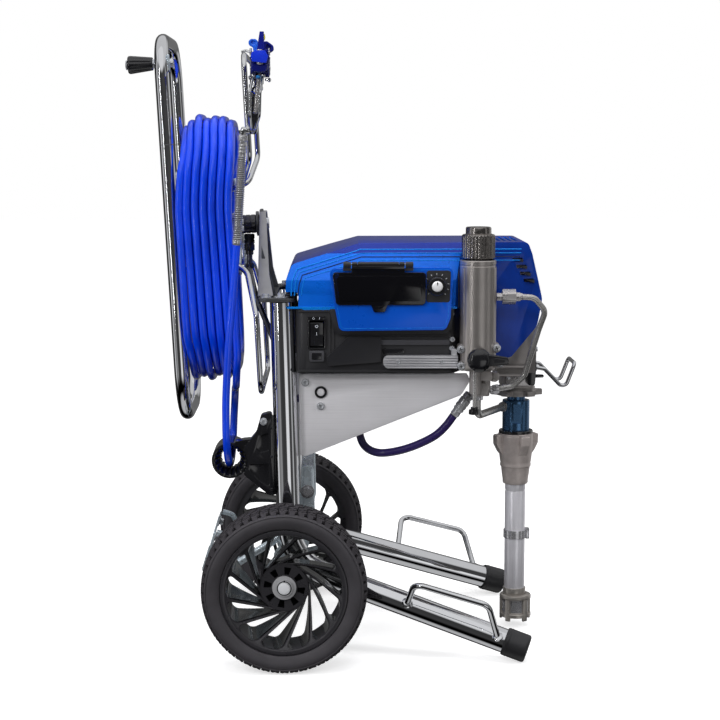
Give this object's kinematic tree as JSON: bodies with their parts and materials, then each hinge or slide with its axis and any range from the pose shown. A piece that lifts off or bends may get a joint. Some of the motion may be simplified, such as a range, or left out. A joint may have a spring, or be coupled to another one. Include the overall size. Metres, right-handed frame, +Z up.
{
  "type": "airless paint sprayer",
  "caption": "Wheeled airless paint sprayer with motor-driven piston pump, filter and prime valve, and a turning reel that carries a coiled spray hose and a stored spray gun.",
  "frame": {"origin": "on the floor, under the middle of the overall box measured without the free spray hose", "axes": "+Z up; +X forward, from the wheels and hose reel towards the pump; +Y to the cart's left, so the control panel faces -Y"},
  "size_m": [0.7159, 0.57, 0.9715],
  "materials": {
    "chromed_tube": "bright chrome plating",
    "zinc_steel": "zinc plated sheet and rod",
    "brushed_plate": "brushed sheet",
    "bracket_steel": "black powder coat",
    "bright_steel": "machined bright",
    "black_rubber": "moulded",
    "tyre_rubber": "moulded tread",
    "black_plastic": "fine moulded texture",
    "rim_plastic": "satin moulding",
    "blue_hose": "smooth nylon hose",
    "indigo_hose": "smooth nylon hose",
    "gun_metal": "cast and satin polished",
    "blue_plastic": "gloss moulding",
    "shroud_blue": "blue with metallic fleck, clear gloss",
    "smoked_clear": "smoked clear plastic",
    "screen_frame": "satin",
    "button_grey": "satin",
    "heat_sink_alu": "extruded and anodised",
    "board": "green circuit board",
    "cast_grey": "cast and painted grey",
    "housing_cast": "die cast, bead blasted",
    "motor_black": "dark paint",
    "rotor_steel": "laminated steel and copper",
    "gear_steel": "hobbed and oiled",
    "sleeve_blue": "blue anodised",
    "cylinder_bronze": "cast, brownish grey",
    "suction_alu": "satin anodised tube",
    "strainer_steel": "stainless steel mesh",
    "filter_mesh": "woven stainless mesh",
    "plated_line": "satin plated steel line and brass-nickel fittings"
  },
  "bodies": {
    "cart": {"frame_tube_right": "chromed_tube", "frame_tube_left": "chromed_tube", "axle": "bright_steel", "axle_carrier": "zinc_steel", "foot_caps": "black_rubber", "leg_handles": "chromed_tube", "rear_step": "zinc_steel", "side_plates": "brushed_plate", "reel_bracket": "bracket_steel", "hose_guide": "black_plastic", "wheel_retainers": "bright_steel", "lower_housing": "black_plastic", "shroud": "shroud_blue", "control_panel": "shroud_blue", "display_unit": "screen_frame", "heat_sink": "heat_sink_alu", "control_board": "board", "cord_gland": "black_plastic", "motor_stator": "motor_black", "drive_housing": "housing_cast", "pail_hook": "chromed_tube", "pump_sleeve": "sleeve_blue", "pump_cylinder": "cylinder_bronze", "suction_tube": "suction_alu", "strainer": "strainer_steel", "filter_manifold": "cast_grey", "filter_element": "filter_mesh", "fluid_tubes": "plated_line", "feed_hose": "indigo_hose"},
    "wheel_right": {"tyre_right": "tyre_rubber", "rim_right": "rim_plastic", "bushes_right": "bright_steel"},
    "wheel_left": {"tyre_left": "tyre_rubber", "rim_left": "rim_plastic", "bushes_left": "bright_steel"},
    "reel": {"reel_hoop": "chromed_tube", "reel_core": "chromed_tube", "reel_wires": "chromed_tube", "reel_hub": "bracket_steel", "hose_coil": "blue_hose", "hose_run": "blue_hose", "hose_end": "bright_steel", "gun_body": "gun_metal", "tip_guard": "blue_plastic"},
    "crank_knob": {"crank_knob": "black_plastic"},
    "gun_trigger": {"gun_trigger": "black_plastic"},
    "spray_tip": {"spray_tip": "blue_plastic"},
    "gun_swivel": {"gun_swivel": "bright_steel"},
    "display_door": {"display_door": "smoked_clear"},
    "button_left": {"button_left": "button_grey"},
    "button_right": {"button_right": "button_grey"},
    "pressure_knob": {"pressure_knob": "black_plastic"},
    "power_rocker": {"power_rocker": "black_plastic"},
    "motor_rotor": {"motor_rotor": "rotor_steel"},
    "drive_gear": {"drive_gear": "gear_steel"},
    "con_rod": {"con_rod": "gear_steel"},
    "pump_rod": {"pump_rod": "bright_steel"},
    "intake_ball": {"intake_ball": "bright_steel"},
    "filter_cap": {"filter_cap": "cast_grey"},
    "prime_valve": {"prime_valve": "black_plastic"}
  },
  "joints": [
    {"name": "wheel_right_spin", "type": "hinge", "parent": "cart", "child": "wheel_right", "pos_m": [-0.1135, -0.242, 0.127], "axis": [0, 1, 0], "continuous": true},
    {"name": "wheel_left_spin", "type": "hinge", "parent": "cart", "child": "wheel_left", "pos_m": [-0.1135, 0.242, 0.127], "axis": [0, 1, 0], "continuous": true},
    {"name": "reel_turn", "type": "hinge", "parent": "cart", "child": "reel", "pos_m": [-0.1725, 0, 0.671], "axis": [0.9986, 0, 0.0523], "range_deg": [-45, 45], "deforming": ["hose_run"]},
    {"name": "crank_knob_spin", "type": "hinge", "parent": "reel", "child": "crank_knob", "pos_m": [-0.33475, -0.1125, 0.92185], "axis": [0.9986, 0, 0.0523], "continuous": true},
    {"name": "trigger_pull", "type": "hinge", "parent": "reel", "child": "gun_trigger", "pos_m": [-0.1455, -0.205, 0.912], "axis": [1, 0, 0], "range_deg": [0, 12], "stiffness_Nm_per_rad": 0.6, "springref_deg": -8.59},
    {"name": "spray_tip_turn", "type": "hinge", "parent": "reel", "child": "spray_tip", "pos_m": [-0.1455, -0.2505, 0.926], "axis": [0, 0, 1], "range_deg": [0, 180]},
    {"name": "gun_swivel_spin", "type": "hinge", "parent": "reel", "child": "gun_swivel", "pos_m": [-0.175, -0.17167, 0.8084], "axis": [0.067, -0.0298, 0.9973], "continuous": true},
    {"name": "door_lift", "type": "hinge", "parent": "cart", "child": "display_door", "pos_m": [0.031, -0.1786, 0.6168], "axis": [-1, 0, 0], "range_deg": [0, 110]},
    {"name": "button_left_press", "type": "slide", "parent": "cart", "child": "button_left", "axis": [0, 1, 0], "range_m": [0, 0.0012], "stiffness_N_per_m": 400, "springref_m": -0.001},
    {"name": "button_right_press", "type": "slide", "parent": "cart", "child": "button_right", "axis": [0, 1, 0], "range_m": [0, 0.0012], "stiffness_N_per_m": 400, "springref_m": -0.001},
    {"name": "pressure_knob_turn", "type": "hinge", "parent": "cart", "child": "pressure_knob", "pos_m": [0.1213, -0.185, 0.5837], "axis": [0, -1, 0], "range_deg": [0, 270]},
    {"name": "power_rocker_tilt", "type": "hinge", "parent": "cart", "child": "power_rocker", "pos_m": [-0.0638, -0.148, 0.5065], "axis": [1, 0, 0], "range_deg": [-8, 8]},
    {"name": "drive_gear_spin", "type": "hinge", "parent": "cart", "child": "drive_gear", "pos_m": [0.1865, 0, 0.515], "axis": [1, 0, 0], "continuous": true},
    {"name": "motor_rotor_spin", "type": "hinge", "parent": "cart", "child": "motor_rotor", "pos_m": [0.0865, 0.04737, 0.555], "axis": [1, 0, 0], "continuous": true},
    {"name": "pump_rod_stroke", "type": "slide", "parent": "cart", "child": "pump_rod", "axis": [0, 0, 1], "range_m": [0, 0.035]},
    {"name": "con_rod_swing", "type": "hinge", "parent": "pump_rod", "child": "con_rod", "pos_m": [0.2635, 0, 0.4455], "axis": [1, 0, 0], "range_deg": [-15, 15]},
    {"name": "intake_ball_lift", "type": "slide", "parent": "cart", "child": "intake_ball", "axis": [0, 0, 1], "range_m": [0, 0.003]},
    {"name": "filter_cap_turn", "type": "hinge", "parent": "cart", "child": "filter_cap", "pos_m": [0.187, -0.15, 0.64], "axis": [0, 0, 1], "continuous": true},
    {"name": "prime_valve_turn", "type": "hinge", "parent": "cart", "child": "prime_valve", "pos_m": [0.186, -0.19, 0.4705], "axis": [0, 1, 0], "range_deg": [0, 90]}
  ],
  "couplings": [
    {"joint": "motor_rotor_spin", "follows": "drive_gear_spin", "ratio": -4.1667}
  ]
}
